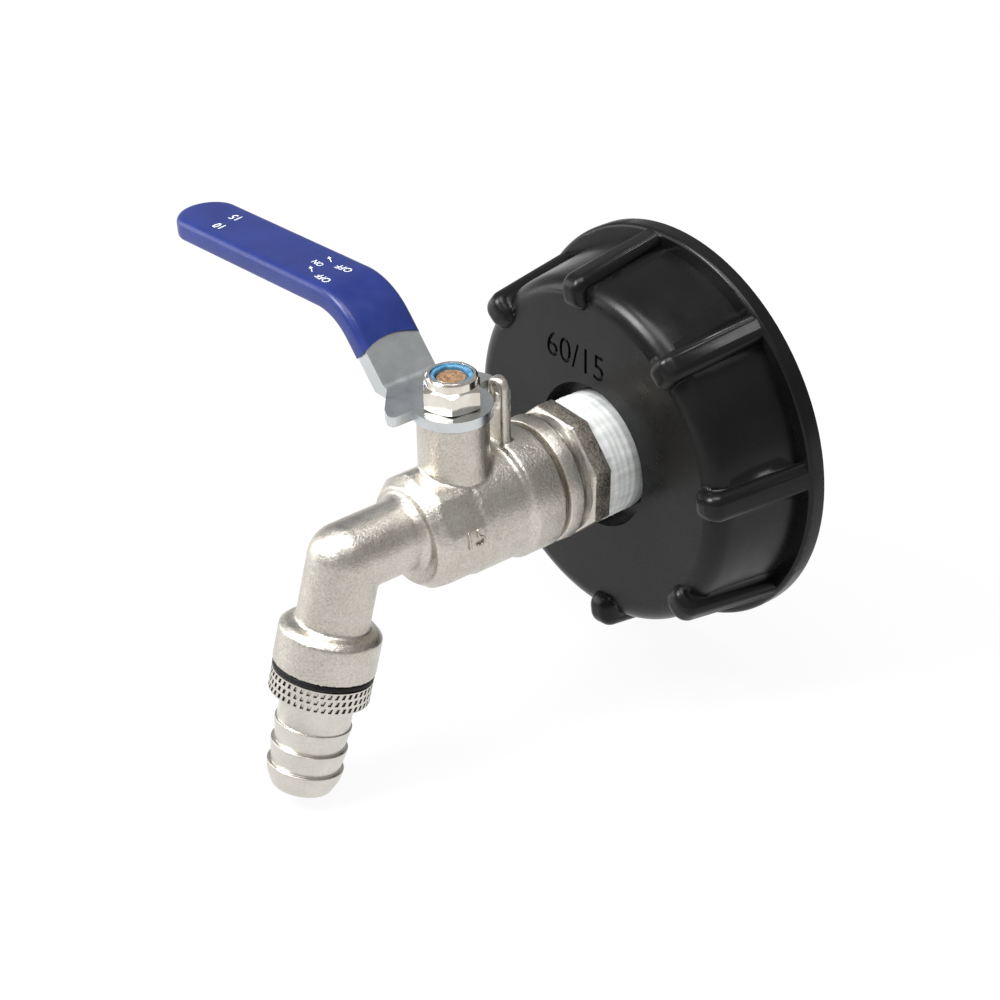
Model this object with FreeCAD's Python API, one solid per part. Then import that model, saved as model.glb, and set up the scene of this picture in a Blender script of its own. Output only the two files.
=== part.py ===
import FreeCAD, Part
import math
import os

from FreeCAD import Placement, Rotation, Vector

# Tank adapter tap: a screw cap for a coarse 60 mm tank neck carries a ball tap with a hose tail.
# Lengths are millimetres, angles degrees. The origin is the centre of the cap's open mouth.
# +Y runs along the flow axis towards the tank, +Z along the stem, +X to the right. The tap is stored closed.

# Running and seating clearances
STEM_GAP = 0.05
BALL_GAP = 0.03
THREAD_GAP = 0.05
SEAT_GAP = 0.05
STOP_GAP = 0.15
CHAMBER_GAP = 0.5

# Tank cap
NECK_THREAD_ROOT_R = 30.2
NECK_THREAD_DEPTH = 1.9
NECK_THREAD_PITCH = 6.0
NECK_THREAD_RIDGE_COUNT = 2
NECK_THREAD_ROOT_LEN = 3.4
NECK_THREAD_CREST_LEN = 1.8
NECK_THREAD_START = 1.5
LEAD_IN_STEP = 0.5
CAP_WALL = 3.7
SIDE_TAPER = 2.2
RIM_REACH = 3.2
RIM_LEN = 3.3
RIM_ROUND = 0.9
CAP_DEPTH = 22.0
CAP_EDGE_ROUND = 4.2
CAP_WEB = 3.5
RECESS_R = 14.5
RECESS_DEPTH = 3.6
HUB_R = 16.5
HUB_LEN = 8.0
RIB_COUNT = 8
RIB_START_ANGLE = 7.0
RIB_WIDTH = 5.6
RIB_BELOW_RIM = 0.3
RIB_PROUD = 2.2
RIB_ON_FACE = 4.8
RIB_ROUND = 2.0
RIB_NOSE_ROUND = 3.0

# Cap gasket
GASKET_INNER_R = 19.5
GASKET_EDGE_GAP = 2.2
GASKET_T = 2.5

# Inlet connector with a G1/2 male end
PIPE_THREAD_R = 10.3
INLET_BORE_R = 5.0
WRENCH_SIDE_COUNT = 8
WRENCH_AF = 24.2
WRENCH_TURN = 20.0
WRENCH_BACK_Y = -27.7
WRENCH_LEN = 3.6
COLLAR_FRONT_R = 12.0
COLLAR_BACK_R = 12.6
COLLAR_ROUND = 1.1
PIPE_END_INSET = 1.0

# Tape wound on the pipe thread
TAPE_R = 12.1

# Ball tap body
BODY_SEAM_Y = -36.8
SEAM_GROOVE_LEN = 0.6
SEAM_GROOVE_R = 11.2
BARREL_BACK_R = 12.2
BARREL_STEP_Y = -45.0
BARREL_FRONT_R = 11.4
BARREL_EDGE = 0.8
STEM_Y = -54.7
SHOULDER_SIDE_COUNT = 8
SHOULDER_AF = 21.6
SHOULDER_CORNER_R = 11.3
SHOULDER_TURN = 12.0
SHOULDER_BACK_Y = -55.0
SHOULDER_EDGE_Y = -63.4
SHOULDER_FRONT_Y = -66.2
SHOULDER_FRONT_R = 9.3
SPOUT_ROOT_R = 7.5
SPOUT_ROOT_LEN = 1.4
SPOUT_R = 6.8
SPOUT_BORE_R = 4.6
SPOUT_RISE = 1.0
ELBOW_Y = -79.8
OUTLET_TILT = 15.9
OUTLET_COLLAR_R = 9.5
OUTLET_COLLAR_START = 12.4
OUTLET_COLLAR_END = 21.0
OUTLET_COLLAR_SLOPE = 0.6
OUTLET_COLLAR_EDGE = 1.0
OUTLET_SOCKET_R = 8.0
OUTLET_SOCKET_DEPTH = 6.4

# Stem boss and stop post
BOSS_R = 6.6
BOSS_TOP_Z = 21.2
POST_WIDTH = 4.6
POST_T = 2.2
POST_DISTANCE = 9.6
POST_TOP_Z = 24.9
POST_HOLE_R = 1.2
POST_HOLE_DROP = 2.4
POST_GROOVE_DEPTH = 0.7
POST_GROOVE_LEN = 3.4
POST_FOOT_Z = 9.0
POST_ROUND = 0.5

# Ball, seats and chamber
BALL_R = 8.4
BALL_BORE_R = 4.6
SEAT_INNER_R = 5.2
SEAT_T = 3.4
SEAT_FACE_OFFSET = 5.1
NOSE_THREAD_R = 10.2
NOSE_THREAD_LEN = 7.6
CONNECTOR_RING_R = 0.8

# Stem
STEM_R = 4.0
STEM_FLANGE_R = 5.0
STEM_FLANGE_T = 1.4
STEM_FLANGE_TOP_Z = 11.2
THRUST_WASHER_T = 0.8
TANG_T = 3.0
TANG_LEN = 7.0
TANG_GAP = 0.06
TANG_LOW_Z = 6.0
SLOT_FLOOR_GAP = 0.2
STEM_NECK_R = 3.0
STEM_NECK_FLATS = 4.6
STEM_TOP_Z = 28.7
STEM_TIP_CHAMFER = 0.5
RING_SECTION_R = 0.7
RING_SQUEEZE = 0.02
RING_LOW_Z = 14.0
RING_PITCH = 3.2

# Lever
LEVER_T = 2.0
LEVER_TOP_Z = 23.4
LEVER_DISC_R = 7.4
LEVER_WIDTH = 12.0
LEVER_FOLD_X = -12.1
LEVER_SLOPE = 46.0
LEVER_BEND_X = -25.0
LEVER_DROOP = 4.2
LEVER_TIP_X = -82.3
LEVER_FOLD_BEND = 2.0
LEVER_TOP_BEND = 15.0
FLANGE_T = 1.6
FLANGE_DEPTH = 3.5
FLANGE_START_X = -12.1
EAR_REACH = 11.6
EAR_BACK_X = -11.4
EAR_SHOULDER_X = -6.0
EAR_SHOULDER_Y = 10.6
EAR_END_LEN = 1.4
EAR_ROUND = 1.0

# Vinyl grip
GRIP_T = 0.45
GRIP_START_X = -17.2

# Lock nut M6 with a nylon ring
NUT_AF = 10.0
NUT_HEX_LEN = 4.2
NUT_CROWN_R = 4.7
NUT_HEIGHT = 6.0
NUT_SEAT_GAP = 0.05
NUT_CHAMFER = 0.75
NUT_FOOT_STEP = 0.1
NUT_TURN = -38.6
NYLON_OUTER_R = 3.9
NYLON_INNER_R = 3.0
NYLON_T = 1.5
NYLON_INSET = 0.3

# Outlet washer and hose tail
WASHER_T = 1.0
WASHER_R = 9.4
KNURL_R = 9.35
KNURL_LEN = 5.0
KNURL_EDGE = 0.9
TAIL_THREAD_LEN = 5.4
TAIL_NECK_R = 6.8
TAIL_NECK_LEN = 5.2
TAIL_BORE_R = 4.4
BARB_COUNT = 3
BARB_PITCH = 4.35
BARB_CREST_R = 7.15
BARB_LAND = 0.4
BARB_TAPER = 0.7
TIP_LEN = 4.7
TIP_BREAK = 1.9
TIP_END_R = 5.7

# Places worked out from the sizes above
LEAD_IN_R = NECK_THREAD_ROOT_R + LEAD_IN_STEP
LEAD_IN_LEN = NECK_THREAD_START
NECK_THREAD_CREST_R = NECK_THREAD_ROOT_R - NECK_THREAD_DEPTH
SIDE_FRONT_R = LEAD_IN_R + CAP_WALL
SIDE_BACK_R = SIDE_FRONT_R + SIDE_TAPER
RIM_R = SIDE_BACK_R + RIM_REACH
RIB_BACK_R = RIM_R - RIB_BELOW_RIM
RIB_FRONT_R = SIDE_FRONT_R + RIB_PROUD - RIB_BELOW_RIM
RIB_END_R = SIDE_FRONT_R - RIB_ON_FACE
GASKET_OUTER_R = NECK_THREAD_ROOT_R - GASKET_EDGE_GAP
CAP_FRONT_Y = -CAP_DEPTH
CAP_FLOOR_Y = CAP_FRONT_Y + CAP_WEB
RECESS_FLOOR_Y = CAP_FRONT_Y + RECESS_DEPTH
HUB_END_Y = CAP_FLOOR_Y + HUB_LEN
PIPE_END_Y = HUB_END_Y - PIPE_END_INSET
WRENCH_FRONT_Y = WRENCH_BACK_Y - WRENCH_LEN
NOSE_THREAD_END_Y = BODY_SEAM_Y - NOSE_THREAD_LEN
CHAMBER_R = BALL_R + CHAMBER_GAP
REAR_SEAT_FACE_Y = STEM_Y + SEAT_FACE_OFFSET
REAR_SEAT_BACK_Y = REAR_SEAT_FACE_Y + SEAT_T
FRONT_SEAT_FACE_Y = STEM_Y - SEAT_FACE_OFFSET
FRONT_SEAT_BACK_Y = FRONT_SEAT_FACE_Y - SEAT_T
LEVER_UNDER_Z = LEVER_TOP_Z - LEVER_T
NUT_BASE_Z = LEVER_TOP_Z + NUT_SEAT_GAP
NUT_TOP_Z = NUT_BASE_Z + NUT_HEIGHT
ELBOW_POINT = Vector(0, ELBOW_Y, SPOUT_RISE)
OUTLET_DIRECTION = Vector(0, -math.sin(math.radians(OUTLET_TILT)), -math.cos(math.radians(OUTLET_TILT)))
SOCKET_FLOOR = OUTLET_COLLAR_END - OUTLET_SOCKET_DEPTH
WASHER_START = OUTLET_COLLAR_END
KNURL_START = WASHER_START + WASHER_T
KNURL_END = KNURL_START + KNURL_LEN
BARB_START = KNURL_END + TAIL_NECK_LEN
TIP_START = BARB_START + BARB_COUNT * BARB_PITCH - BARB_PITCH
TAIL_END = TIP_START + TIP_LEN
FAR = 200.0

AXIS_X = Vector(1, 0, 0)
AXIS_Y = Vector(0, 1, 0)
AXIS_Z = Vector(0, 0, 1)


def lathe_y(outline):
    """Turn a closed outline of (y, radius) points about the flow axis."""
    points = [Vector(radius, y, 0) for y, radius in outline]
    face = Part.Face(Part.makePolygon(points + [points[0]]))
    return face.revolve(Vector(0, 0, 0), AXIS_Y, 360)


def lathe_z(outline):
    """Turn a closed outline of (z, radius) points about the stem axis."""
    points = [Vector(radius, STEM_Y, z) for z, radius in outline]
    face = Part.Face(Part.makePolygon(points + [points[0]]))
    return face.revolve(Vector(0, STEM_Y, 0), AXIS_Z, 360)


def lathe_outlet(outline):
    """Turn a closed outline of (distance, radius) points about the outlet axis, down from the elbow."""
    points = [Vector(radius, 0, distance) for distance, radius in outline]
    face = Part.Face(Part.makePolygon(points + [points[0]]))
    solid = face.revolve(Vector(0, 0, 0), AXIS_Z, 360)
    solid.Placement = Placement(ELBOW_POINT, Rotation(AXIS_Z, OUTLET_DIRECTION))
    return solid


def tube_y(y_low, y_high, radius):
    return Part.makeCylinder(radius, y_high - y_low, Vector(0, y_low, 0), AXIS_Y)


def post_z(z_low, z_high, radius, x=0.0, y=STEM_Y):
    return Part.makeCylinder(radius, z_high - z_low, Vector(x, y, z_low), AXIS_Z)


def ring_y(y, ring_r, section_r):
    return Part.makeTorus(ring_r, section_r, Vector(0, y, 0), AXIS_Y)


def ring_z(z, ring_r, section_r):
    return Part.makeTorus(ring_r, section_r, Vector(0, STEM_Y, z), AXIS_Z)


def prism_y(sides, across_flats, turn, y_low, y_high):
    """Regular prism along the flow axis; turn is the angle of its first corner from +X towards +Z."""
    corner_r = across_flats / 2 / math.cos(math.pi / sides)
    corners = []
    for i in range(sides):
        angle = math.radians(turn) + 2 * math.pi * i / sides
        corners.append(Vector(corner_r * math.cos(angle), y_low, corner_r * math.sin(angle)))
    face = Part.Face(Part.makePolygon(corners + [corners[0]]))
    return face.extrude(Vector(0, y_high - y_low, 0))


def round_edges(solid, radius, chosen):
    """Round the edges that the test picks out."""
    edges = [edge for edge in solid.Edges if chosen(edge)]
    return solid.makeFillet(radius, edges)


def is_circle(edge, radius, y):
    curve = edge.Curve
    if not isinstance(curve, Part.Circle):
        return False
    return abs(curve.Radius - radius) < 1e-4 and abs(curve.Center.y - y) < 1e-4


# ---------------------------------------------------------------- tank cap and its gasket

def cap_rib():
    """One grip rib: along the side, round the front edge and a little way onto the front face."""
    nose_y = CAP_FRONT_Y - RIB_PROUD
    side_in_r = (SIDE_FRONT_R + LEAD_IN_R) / 2
    web_y = CAP_FRONT_Y + CAP_WEB / 2
    start_y = -RIM_LEN / 2
    outline = [(side_in_r, start_y), (RIB_BACK_R, start_y), (RIB_FRONT_R, nose_y), (RIB_END_R, nose_y),
               (RIB_END_R, web_y), (side_in_r, web_y)]
    points = [Vector(radius, y, -RIB_WIDTH / 2) for radius, y in outline]
    rib = Part.Face(Part.makePolygon(points + [points[0]])).extrude(Vector(0, 0, RIB_WIDTH))

    def on_nose(edge):
        middle = edge.CenterOfMass
        across = abs(edge.tangentAt(edge.FirstParameter).z) > 0.99
        return across and abs(middle.y - nose_y) < 1e-4

    rib = round_edges(rib, RIB_NOSE_ROUND, on_nose)

    def on_crown(edge):
        middle = edge.CenterOfMass
        along = abs(middle.z) > RIB_WIDTH / 2 - 1e-4
        outer = middle.x > RIB_FRONT_R - RIB_NOSE_ROUND and middle.y < start_y - 1e-3
        front = middle.y < CAP_FRONT_Y - 1e-3
        return along and (outer or front)

    return round_edges(rib, RIB_ROUND, on_crown)


def neck_thread():
    """Coarse female thread for the tank neck: one closed ridge for each turn of the real thread."""
    bury = (NECK_THREAD_ROOT_R + LEAD_IN_R) / 2 + NECK_THREAD_CREST_LEN
    ridges = []
    for i in range(NECK_THREAD_RIDGE_COUNT):
        first = -NECK_THREAD_START - i * NECK_THREAD_PITCH
        slant = (NECK_THREAD_ROOT_LEN - NECK_THREAD_CREST_LEN) / 2
        last = first - NECK_THREAD_ROOT_LEN
        outline = [(first, bury), (first, NECK_THREAD_ROOT_R), (first - slant, NECK_THREAD_CREST_R),
                   (last + slant, NECK_THREAD_CREST_R), (last, NECK_THREAD_ROOT_R), (last, bury)]
        ridges.append(lathe_y(outline))
    return ridges


def tank_cap():
    outer = lathe_y([(0, 0), (0, RIM_R), (-RIM_LEN, RIM_R), (-RIM_LEN, SIDE_BACK_R),
                     (CAP_FRONT_Y, SIDE_FRONT_R), (CAP_FRONT_Y, 0)])
    outer = round_edges(outer, CAP_EDGE_ROUND, lambda edge: is_circle(edge, SIDE_FRONT_R, CAP_FRONT_Y))
    outer = round_edges(outer, RIM_ROUND, lambda edge: is_circle(edge, RIM_R, -RIM_LEN))
    rib = cap_rib()
    for i in range(RIB_COUNT):
        copy = rib.copy()
        copy.rotate(Vector(0, 0, 0), AXIS_Y, -(RIB_START_ANGLE + 360.0 * i / RIB_COUNT))
        outer = outer.fuse(copy)
    cavity = tube_y(CAP_FLOOR_Y, 1.0, NECK_THREAD_ROOT_R)
    lead_in = tube_y(-LEAD_IN_LEN, 1.0, LEAD_IN_R)
    cap = outer.cut(cavity.fuse(lead_in))
    cap = cap.fuse(tube_y(CAP_FLOOR_Y - CAP_WEB / 2, HUB_END_Y, HUB_R))
    cap = cap.cut(tube_y(CAP_FRONT_Y - 1.0, RECESS_FLOOR_Y, RECESS_R))
    cap = cap.cut(tube_y(CAP_FRONT_Y, 1.0, PIPE_THREAD_R + THREAD_GAP))
    return cap.fuse(neck_thread()).removeSplitter()


def cap_gasket():
    return lathe_y([(CAP_FLOOR_Y, GASKET_INNER_R), (CAP_FLOOR_Y, GASKET_OUTER_R),
                    (CAP_FLOOR_Y + GASKET_T, GASKET_OUTER_R), (CAP_FLOOR_Y + GASKET_T, GASKET_INNER_R)])


# ---------------------------------------------------------------- inlet connector, tape, seats

def ptfe_tape():
    low = WRENCH_BACK_Y
    high = RECESS_FLOOR_Y
    return tube_y(low, high, TAPE_R).cut(tube_y(low - 1.0, high + 1.0, PIPE_THREAD_R))


def inlet_connector():
    """Male pipe end, wrench flats, round collar, and the threaded nose that holds the rear seat."""
    pipe = tube_y(WRENCH_BACK_Y, PIPE_END_Y, PIPE_THREAD_R)
    flats = prism_y(WRENCH_SIDE_COUNT, WRENCH_AF, WRENCH_TURN, WRENCH_FRONT_Y, WRENCH_BACK_Y)
    collar = lathe_y([(WRENCH_FRONT_Y, 0), (WRENCH_FRONT_Y, COLLAR_BACK_R), (BODY_SEAM_Y, COLLAR_FRONT_R),
                      (BODY_SEAM_Y, 0)])
    collar = round_edges(collar, COLLAR_ROUND, lambda edge: is_circle(edge, COLLAR_FRONT_R, BODY_SEAM_Y))
    nose = tube_y(NOSE_THREAD_END_Y, BODY_SEAM_Y, NOSE_THREAD_R - THREAD_GAP)
    tip = tube_y(REAR_SEAT_BACK_Y, NOSE_THREAD_END_Y, CHAMBER_R - SEAT_GAP)
    connector = pipe.fuse([flats, collar, nose, tip])
    connector = connector.cut(tube_y(REAR_SEAT_BACK_Y - 1.0, PIPE_END_Y + 1.0, INLET_BORE_R))
    groove_y = BODY_SEAM_Y - CONNECTOR_RING_R
    groove = ring_y(groove_y, NOSE_THREAD_R - CONNECTOR_RING_R, CONNECTOR_RING_R)
    groove = groove.fuse(tube_y(groove_y - CONNECTOR_RING_R, BODY_SEAM_Y, NOSE_THREAD_R + 1.0).cut(
        tube_y(groove_y - CONNECTOR_RING_R, BODY_SEAM_Y, NOSE_THREAD_R - CONNECTOR_RING_R)))
    return connector.cut(groove)


def connector_o_ring():
    middle_r = NOSE_THREAD_R - CONNECTOR_RING_R
    return ring_y(BODY_SEAM_Y - CONNECTOR_RING_R, middle_r, CONNECTOR_RING_R - SEAT_GAP)


def seat(face_y, back_y):
    """PTFE seat ring with a spherical face."""
    ring = tube_y(min(face_y, back_y), max(face_y, back_y), CHAMBER_R - SEAT_GAP)
    ring = ring.cut(tube_y(-FAR, 0, SEAT_INNER_R))
    return ring.cut(Part.makeSphere(BALL_R + BALL_GAP, Vector(0, STEM_Y, 0)))


# ---------------------------------------------------------------- valve body

def spout_tube(radius, end_distance):
    """Run from inside the shoulder along the spout, round the mitred elbow and down the outlet axis."""
    spout = Part.makeCylinder(radius, FRONT_SEAT_BACK_Y - ELBOW_Y, ELBOW_POINT, AXIS_Y)
    leg = Part.makeCylinder(radius, end_distance, ELBOW_POINT, OUTLET_DIRECTION)
    return spout.fuse([Part.makeSphere(radius, ELBOW_POINT), leg])


def stop_post():
    """Round-topped lug behind the stem boss that the lever's ears meet, drilled for a sealing wire."""
    front = STEM_Y + POST_DISTANCE
    half = POST_WIDTH / 2
    arch_z = POST_TOP_Z - half
    post = Part.makeBox(POST_WIDTH, POST_T, arch_z - POST_FOOT_Z, Vector(-half, front, POST_FOOT_Z))
    post = post.fuse(Part.makeCylinder(half, POST_T, Vector(0, front, arch_z), AXIS_Y)).removeSplitter()

    def on_faces(edge):
        middle = edge.CenterOfMass
        return abs(edge.tangentAt(edge.FirstParameter).y) < 0.01 and middle.z > POST_FOOT_Z + 1

    post = round_edges(post, POST_ROUND, on_faces)
    hole_z = POST_TOP_Z - POST_HOLE_DROP
    hole = Part.makeCylinder(POST_HOLE_R, 3 * POST_T, Vector(0, front - POST_T, hole_z), AXIS_Y)
    groove = Part.makeBox(2 * POST_HOLE_R, POST_GROOVE_DEPTH, POST_GROOVE_LEN,
                          Vector(-POST_HOLE_R, front, hole_z - POST_GROOVE_LEN))
    return post.cut(hole).cut(groove)


def valve_body():
    """The casting: barrel, eight-sided shoulder, spout, outlet collar, stem boss and stop post."""
    barrel_start = BODY_SEAM_Y - SEAM_GROOVE_LEN
    barrel_end = SHOULDER_BACK_Y - BARREL_EDGE
    barrel = lathe_y([(BODY_SEAM_Y, 0), (BODY_SEAM_Y, SEAM_GROOVE_R), (barrel_start, SEAM_GROOVE_R),
                      (barrel_start - BARREL_EDGE, BARREL_BACK_R), (BARREL_STEP_Y, BARREL_BACK_R),
                      (BARREL_STEP_Y - BARREL_EDGE, BARREL_FRONT_R), (barrel_end, BARREL_FRONT_R),
                      (barrel_end, 0)])
    eight_sides = prism_y(SHOULDER_SIDE_COUNT, SHOULDER_AF, SHOULDER_TURN, SHOULDER_FRONT_Y, SHOULDER_BACK_Y)
    turned = lathe_y([(SHOULDER_BACK_Y, 0), (SHOULDER_BACK_Y, BARREL_FRONT_R - BARREL_EDGE),
                      (SHOULDER_BACK_Y - 2 * BARREL_EDGE, SHOULDER_CORNER_R),
                      (SHOULDER_EDGE_Y, SHOULDER_CORNER_R), (SHOULDER_FRONT_Y, SHOULDER_FRONT_R),
                      (SHOULDER_FRONT_Y, 0)])
    shoulder = eight_sides.common(turned)
    root = Part.makeCone(SPOUT_R, SPOUT_ROOT_R, SPOUT_ROOT_LEN,
                         Vector(0, SHOULDER_FRONT_Y - SPOUT_ROOT_LEN, SPOUT_RISE), AXIS_Y)
    collar_edge = OUTLET_COLLAR_START + OUTLET_COLLAR_SLOPE
    spout = spout_tube(SPOUT_R, collar_edge + OUTLET_COLLAR_EDGE)
    collar = lathe_outlet([(OUTLET_COLLAR_START, 0), (OUTLET_COLLAR_START, SPOUT_R),
                           (collar_edge, OUTLET_COLLAR_R - OUTLET_COLLAR_EDGE),
                           (collar_edge + OUTLET_COLLAR_EDGE, OUTLET_COLLAR_R),
                           (OUTLET_COLLAR_END, OUTLET_COLLAR_R), (OUTLET_COLLAR_END, 0)])
    boss = post_z(0, BOSS_TOP_Z, BOSS_R)
    body = barrel.fuse([shoulder, root, spout, collar, boss, stop_post()])

    body = body.cut(tube_y(FRONT_SEAT_BACK_Y, BODY_SEAM_Y + 1.0, CHAMBER_R))
    body = body.cut(tube_y(NOSE_THREAD_END_Y, BODY_SEAM_Y + 1.0, NOSE_THREAD_R))
    waterway = spout_tube(SPOUT_BORE_R, SOCKET_FLOOR + 1.0)
    socket = lathe_outlet([(SOCKET_FLOOR, 0), (SOCKET_FLOOR, OUTLET_SOCKET_R),
                           (OUTLET_COLLAR_END + 1.0, OUTLET_SOCKET_R), (OUTLET_COLLAR_END + 1.0, 0)])
    body = body.cut(waterway.fuse(socket))
    flange_pocket = post_z(0, STEM_FLANGE_TOP_Z + THRUST_WASHER_T, STEM_FLANGE_R + SEAT_GAP)
    stem_hole = post_z(0, BOSS_TOP_Z + 1.0, STEM_R + STEM_GAP)
    return body.cut(flange_pocket.fuse(stem_hole)).removeSplitter()


# ---------------------------------------------------------------- ball, stem, rings

def ball():
    """Ball stored closed: its bore lies across the flow and its slot along it."""
    sphere = Part.makeSphere(BALL_R, Vector(0, STEM_Y, 0))
    bore = Part.makeCylinder(BALL_BORE_R, 2 * FAR, Vector(-FAR, STEM_Y, 0), AXIS_X)
    floor = TANG_LOW_Z - SLOT_FLOOR_GAP
    width = TANG_T + 2 * TANG_GAP
    slot = Part.makeBox(width, 2 * FAR, BALL_R, Vector(-width / 2, STEM_Y - FAR, floor))
    return sphere.cut(bore).cut(slot)


def flats_cut(solid, z_low, z_high, across):
    """Cut two parallel flats, left and right of the stem axis."""
    for side in (-1, 1):
        x = across / 2 if side > 0 else -across / 2 - FAR
        solid = solid.cut(Part.makeBox(FAR, 2 * FAR, z_high - z_low, Vector(x, STEM_Y - FAR, z_low)))
    return solid


def stem():
    flange_low = STEM_FLANGE_TOP_Z - STEM_FLANGE_T
    tang_corner = Vector(-TANG_T / 2, STEM_Y - TANG_LEN / 2, TANG_LOW_Z)
    tang = Part.makeBox(TANG_T, TANG_LEN, flange_low - TANG_LOW_Z, tang_corner)
    tang = tang.common(post_z(TANG_LOW_Z, flange_low, STEM_FLANGE_R - STEM_FLANGE_T / 2))
    shaft = lathe_z([(flange_low, 0), (flange_low, STEM_FLANGE_R), (STEM_FLANGE_TOP_Z, STEM_FLANGE_R),
                     (STEM_FLANGE_TOP_Z, STEM_R), (LEVER_UNDER_Z, STEM_R), (LEVER_UNDER_Z, STEM_NECK_R),
                     (STEM_TOP_Z - STEM_TIP_CHAMFER, STEM_NECK_R),
                     (STEM_TOP_Z, STEM_NECK_R - STEM_TIP_CHAMFER), (STEM_TOP_Z, 0)])
    shaft = flats_cut(shaft, LEVER_UNDER_Z, LEVER_TOP_Z, STEM_NECK_FLATS)
    for i in range(2):
        low = RING_LOW_Z + i * RING_PITCH - RING_SECTION_R
        high = low + 2 * RING_SECTION_R
        core = post_z(low, high, STEM_R + STEM_GAP - 2 * RING_SECTION_R)
        shaft = shaft.cut(post_z(low, high, STEM_R + 1.0).cut(core))
    return tang.fuse(shaft).removeSplitter()


def stem_o_ring(index):
    section = RING_SECTION_R - RING_SQUEEZE
    return ring_z(RING_LOW_Z + index * RING_PITCH, STEM_R + STEM_GAP - RING_SECTION_R, section)


def stem_thrust_washer():
    low = STEM_FLANGE_TOP_Z
    high = low + THRUST_WASHER_T - STEM_GAP
    return post_z(low, high, STEM_FLANGE_R - STEM_GAP).cut(post_z(low - 1, high + 1, STEM_R + STEM_GAP))


# ---------------------------------------------------------------- lever and grip

def lever_corners():
    """Corners of the lever's top line in side view, before its bends: hub, fold, upper bend, tip."""
    slope = math.tan(math.radians(LEVER_SLOPE))
    bend_z = LEVER_TOP_Z + (LEVER_FOLD_X - LEVER_BEND_X) * slope
    tip_z = bend_z - (LEVER_BEND_X - LEVER_TIP_X) * math.tan(math.radians(LEVER_DROOP))
    return [Vector(0, 0, LEVER_TOP_Z), Vector(LEVER_FOLD_X, 0, LEVER_TOP_Z), Vector(LEVER_BEND_X, 0, bend_z),
            Vector(LEVER_TIP_X, 0, tip_z)]


def shifted(corners, depth):
    """The same line, moved square to itself by depth, downwards when positive."""
    normals = []
    for a, b in zip(corners, corners[1:]):
        run = (b - a).normalize()
        normals.append(Vector(-run.z, 0, run.x))
    moved = [corners[0] + normals[0] * depth]
    for i in range(1, len(corners) - 1):
        n1 = normals[i - 1]
        n2 = normals[i]
        moved.append(corners[i] + (n1 + n2) * (depth / (1 + n1.dot(n2))))
    moved.append(corners[-1] + normals[-1] * depth)
    return moved


def bent_edges(corners, radii):
    """Straight runs joined by tangent arcs, one radius for each inner corner."""
    edges = []
    start = corners[0]
    for corner, after, radius in zip(corners[1:-1], corners[2:], radii):
        back = (start - corner).normalize()
        ahead = (after - corner).normalize()
        half = math.acos(max(-1.0, min(1.0, back.dot(ahead)))) / 2
        reach = radius / math.tan(half)
        into = corner + back * reach
        out = corner + ahead * reach
        bisector = (back + ahead).normalize()
        centre = corner + bisector * (radius / math.sin(half))
        middle = centre - bisector * radius
        edges.append(Part.LineSegment(start, into).toShape())
        edges.append(Part.Arc(into, middle, out).toShape())
        start = out
    edges.append(Part.LineSegment(start, corners[-1]).toShape())
    return edges


def side_slab(upper_depth, lower_depth, tip_extra, y_low, y_high):
    """Solid between two lines parallel to the lever's top line, seen from the side, from y_low to y_high."""
    line = lever_corners()
    tip_run = (line[-1] - line[-2]).normalize()
    line[-1] = line[-1] + tip_run * tip_extra
    wires = []
    for depth in (upper_depth, lower_depth):
        wires.append(bent_edges(shifted(line, depth), [LEVER_FOLD_BEND + depth, LEVER_TOP_BEND - depth]))
    upper, lower = wires
    first = Part.LineSegment(upper[0].Vertexes[0].Point, lower[0].Vertexes[0].Point).toShape()
    last = Part.LineSegment(upper[-1].Vertexes[-1].Point, lower[-1].Vertexes[-1].Point).toShape()
    wire = Part.Wire(Part.__sortEdges__(upper + lower + [first, last]))
    slab = Part.Face(wire).extrude(Vector(0, y_high - y_low, 0))
    slab.translate(Vector(0, y_low, 0))
    return slab


def plan_shape(width, tip_x, start_x):
    """Strip with a round end at the tip, tall enough to cut any part of the lever."""
    half = width / 2
    box = Part.makeBox(start_x - tip_x - half, width, FAR, Vector(tip_x + half, STEM_Y - half, 0))
    return box.fuse(Part.makeCylinder(half, FAR, Vector(tip_x + half, STEM_Y, 0), AXIS_Z))


def lever_ear(side):
    """Flat stop ear beside the hub: side is -1 towards the spout, +1 towards the tank."""
    edge_x = -POST_WIDTH / 2 - STOP_GAP
    outline = [(EAR_BACK_X, 0), (EAR_BACK_X, LEVER_WIDTH / 2), (EAR_SHOULDER_X, EAR_SHOULDER_Y),
               (edge_x - EAR_END_LEN, EAR_REACH), (edge_x, EAR_REACH), (edge_x, 0)]
    points = [Vector(x, STEM_Y + side * y, LEVER_UNDER_Z) for x, y in outline]
    ear = Part.Face(Part.makePolygon(points + [points[0]])).extrude(Vector(0, 0, LEVER_T))

    def is_corner(edge):
        middle = edge.CenterOfMass
        upright = abs(edge.tangentAt(edge.FirstParameter).z) > 0.99
        outer = side * (middle.y - STEM_Y) > EAR_REACH - 1e-3
        return upright and outer and abs(middle.x - edge_x) < 1e-3

    return round_edges(ear, EAR_ROUND, is_corner)


def lever_flanges():
    """Turned-down sides of the lever, deeper along the handle and running out towards the fold."""
    solids = []
    for side in (-1, 1):
        outer = STEM_Y + side * LEVER_WIDTH / 2
        inner = outer - side * FLANGE_T
        slab = side_slab(LEVER_T / 2, FLANGE_DEPTH, 0, min(outer, inner), max(outer, inner))
        corner = Vector(LEVER_TIP_X, STEM_Y - FAR, LEVER_UNDER_Z)
        keep = Part.makeBox(FLANGE_START_X - LEVER_TIP_X, 2 * FAR, FAR, corner)
        solids.append(slab.common(keep))
    return solids


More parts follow.
